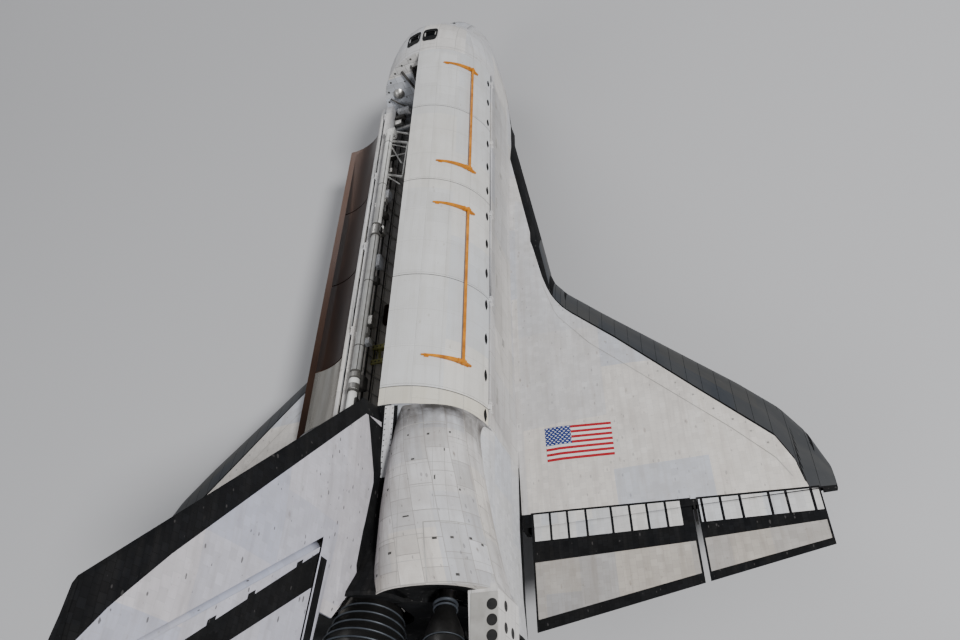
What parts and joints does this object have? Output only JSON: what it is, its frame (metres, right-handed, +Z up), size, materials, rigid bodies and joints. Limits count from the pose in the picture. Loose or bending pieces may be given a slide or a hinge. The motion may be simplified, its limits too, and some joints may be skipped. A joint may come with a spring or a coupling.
{
  "type": "space shuttle",
  "caption": "Winged space shuttle orbiter parked on its landing gear, one payload door open and one closed, with its arm stowed.",
  "frame": {"origin": "centre of the bounding box, on the ground the wheels stand on", "axes": "+X forward to the nose, +Y to port, +Z up; the airframe leans 3 degrees nose down on its gear"},
  "size_m": [36.547, 23.792, 17.261],
  "materials": {
    "white_blanket": "matt quilted blanket",
    "white_tile": "matt tile",
    "black_tile": "matt black tile",
    "grey_carbon": "dull grey panels",
    "bare_metal": "dull bare metal",
    "radiator_silver": "bright brushed silver",
    "orange_paint": "orange paint",
    "window_glass": "dark glass",
    "tyre_rubber": "black rubber"
  },
  "bodies": {
    "airframe": {"nose_cap": "grey_carbon", "forward_thruster_module": "white_tile", "forward_fuselage": "white_tile", "windshield_glass": "window_glass", "roof_window_glass": "window_glass", "cabin_bulkhead": "white_blanket", "airlock": "white_blanket", "mid_fuselage": "white_blanket", "arm_shoulder_pedestal": "bare_metal", "arm_forward_cradle": "bare_metal", "arm_rear_cradle": "bare_metal", "aft_fuselage": "white_tile", "base_heat_shield": "black_tile", "port_wing": "white_blanket", "port_leading_edge": "grey_carbon", "starboard_wing": "white_blanket", "starboard_leading_edge": "grey_carbon", "port_engine_pod": "white_blanket", "starboard_engine_pod": "white_blanket", "port_orbital_engine": "bare_metal", "starboard_orbital_engine": "bare_metal", "fin": "white_tile", "nose_gear_cylinder": "white_tile", "port_main_gear_leg": "white_tile", "starboard_main_gear_leg": "white_tile", "nose_gear_door_port": "black_tile", "nose_gear_door_starboard": "black_tile", "main_gear_door_port": "black_tile", "main_gear_door_starboard": "black_tile"},
    "port_bay_door": {"port_bay_door": "white_blanket", "port_radiator": "radiator_silver"},
    "starboard_bay_door": {"starboard_bay_door": "white_blanket", "starboard_radiator": "radiator_silver", "forward_lifting_frame": "orange_paint", "rear_lifting_frame": "orange_paint"},
    "crew_hatch": {"crew_hatch": "white_tile"},
    "arm": {"arm_upper_boom": "white_blanket", "arm_lower_boom": "white_blanket", "arm_end_effector": "white_blanket"},
    "nose_gear_piston": {"nose_gear_piston": "bare_metal"},
    "nose_wheels": {"nose_wheel_hubs": "bare_metal", "nose_tyre_port": "tyre_rubber", "nose_tyre_starboard": "tyre_rubber"},
    "port_main_wheels": {"port_main_wheel_hubs": "bare_metal", "port_main_tyre_port": "tyre_rubber", "port_main_tyre_starboard": "tyre_rubber"},
    "starboard_main_wheels": {"starboard_main_wheel_hubs": "bare_metal", "starboard_main_tyre_port": "tyre_rubber", "starboard_main_tyre_starboard": "tyre_rubber"},
    "port_inboard_elevon": {"port_inboard_elevon": "white_tile"},
    "port_outboard_elevon": {"port_outboard_elevon": "white_tile"},
    "starboard_inboard_elevon": {"starboard_inboard_elevon": "white_tile"},
    "starboard_outboard_elevon": {"starboard_outboard_elevon": "white_tile"},
    "body_flap": {"body_flap": "black_tile"},
    "rudder_shaft": {"rudder_shaft": "bare_metal"},
    "port_rudder_panel": {"port_rudder_panel": "white_tile"},
    "starboard_rudder_panel": {"starboard_rudder_panel": "white_tile"},
    "upper_main_engine": {"upper_main_engine": "bare_metal"},
    "port_main_engine": {"port_main_engine": "bare_metal"},
    "starboard_main_engine": {"starboard_main_engine": "bare_metal"}
  },
  "joints": [
    {"name": "port_bay_door_hinge", "type": "hinge", "parent": "airframe", "child": "port_bay_door", "pos_m": [18.3864, 2.7, 5.23687], "axis": [-0.9986, 0, 0.0523], "range_deg": [-175.5, 0]},
    {"name": "starboard_bay_door_hinge", "type": "hinge", "parent": "airframe", "child": "starboard_bay_door", "pos_m": [18.3864, -2.7, 5.23687], "axis": [0.9986, 0, -0.0523], "range_deg": [0, 175.5]},
    {"name": "crew_hatch_hinge", "type": "hinge", "parent": "airframe", "child": "crew_hatch", "pos_m": [11.95917, 2.606, 3.92945], "axis": [-0.9986, 0, 0.0523], "range_deg": [0, 90]},
    {"name": "arm_shoulder_pitch", "type": "hinge", "parent": "airframe", "child": "arm", "pos_m": [7.15202, 2.09, 6.11604], "axis": [0, 1, 0], "range_deg": [0, 145]},
    {"name": "nose_wheel_steering", "type": "hinge", "parent": "airframe", "child": "nose_gear_piston", "pos_m": [14.62816, 0, 0.401], "axis": [0, 0, 1], "range_deg": [-10, 10]},
    {"name": "nose_wheels_roll", "type": "hinge", "parent": "nose_gear_piston", "child": "nose_wheels", "pos_m": [14.62816, 0, 0.401], "axis": [0, 1, 0], "continuous": true},
    {"name": "port_main_wheels_roll", "type": "hinge", "parent": "airframe", "child": "port_main_wheels", "pos_m": [-5.66543, 3.454, 0.55804], "axis": [0, 1, 0], "continuous": true},
    {"name": "starboard_main_wheels_roll", "type": "hinge", "parent": "airframe", "child": "starboard_main_wheels", "pos_m": [-5.66543, -3.454, 0.55804], "axis": [0, 1, 0], "continuous": true},
    {"name": "port_inboard_elevon_hinge", "type": "hinge", "parent": "airframe", "child": "port_inboard_elevon", "pos_m": [-10.98973, 2.96, 3.30939], "axis": [0.0032, 0.9981, 0.061], "range_deg": [-18, 33.5]},
    {"name": "port_outboard_elevon_hinge", "type": "hinge", "parent": "airframe", "child": "port_outboard_elevon", "pos_m": [-10.97336, 8.075, 3.62181], "axis": [0.0032, 0.9981, 0.061], "range_deg": [-18, 33.5]},
    {"name": "starboard_inboard_elevon_hinge", "type": "hinge", "parent": "airframe", "child": "starboard_inboard_elevon", "pos_m": [-10.98973, -2.96, 3.30939], "axis": [-0.0032, 0.9981, -0.061], "range_deg": [-18, 33.5]},
    {"name": "starboard_outboard_elevon_hinge", "type": "hinge", "parent": "airframe", "child": "starboard_outboard_elevon", "pos_m": [-10.97336, -8.075, 3.62181], "axis": [-0.0032, 0.9981, -0.061], "range_deg": [-18, 33.5]},
    {"name": "body_flap_hinge", "type": "hinge", "parent": "airframe", "child": "body_flap", "pos_m": [-14.67482, 0, 3.49978], "axis": [0, 1, 0], "range_deg": [-22.5, 11.7]},
    {"name": "rudder_hinge", "type": "hinge", "parent": "airframe", "child": "rudder_shaft", "pos_m": [-15.05138, 0, 13.88372], "axis": [-0.5274, 0, 0.8496], "range_deg": [-27.1, 27.1]},
    {"name": "port_speed_brake", "type": "hinge", "parent": "rudder_shaft", "child": "port_rudder_panel", "pos_m": [-15.05138, 0, 13.88372], "axis": [0.5274, 0, -0.8496], "range_deg": [0, 49.3]},
    {"name": "starboard_speed_brake", "type": "hinge", "parent": "rudder_shaft", "child": "starboard_rudder_panel", "pos_m": [-15.05138, 0, 13.88372], "axis": [-0.5274, 0, 0.8496], "range_deg": [0, 49.3]},
    {"name": "upper_main_engine_gimbal", "type": "hinge", "parent": "airframe", "child": "upper_main_engine", "pos_m": [-12.24796, 0, 7.4652], "axis": [0, 1, 0], "range_deg": [-10.5, 10.5]},
    {"name": "port_main_engine_gimbal", "type": "hinge", "parent": "airframe", "child": "port_main_engine", "pos_m": [-12.96855, 1.346, 4.95047], "axis": [0.061, 0.9981, -0.0032], "range_deg": [-10.5, 10.5]},
    {"name": "starboard_main_engine_gimbal", "type": "hinge", "parent": "airframe", "child": "starboard_main_engine", "pos_m": [-12.96855, -1.346, 4.95047], "axis": [-0.061, 0.9981, 0.0032], "range_deg": [-10.5, 10.5]}
  ],
  "couplings": [
    {"joint": "starboard_speed_brake", "follows": "port_speed_brake", "ratio": 1}
  ]
}
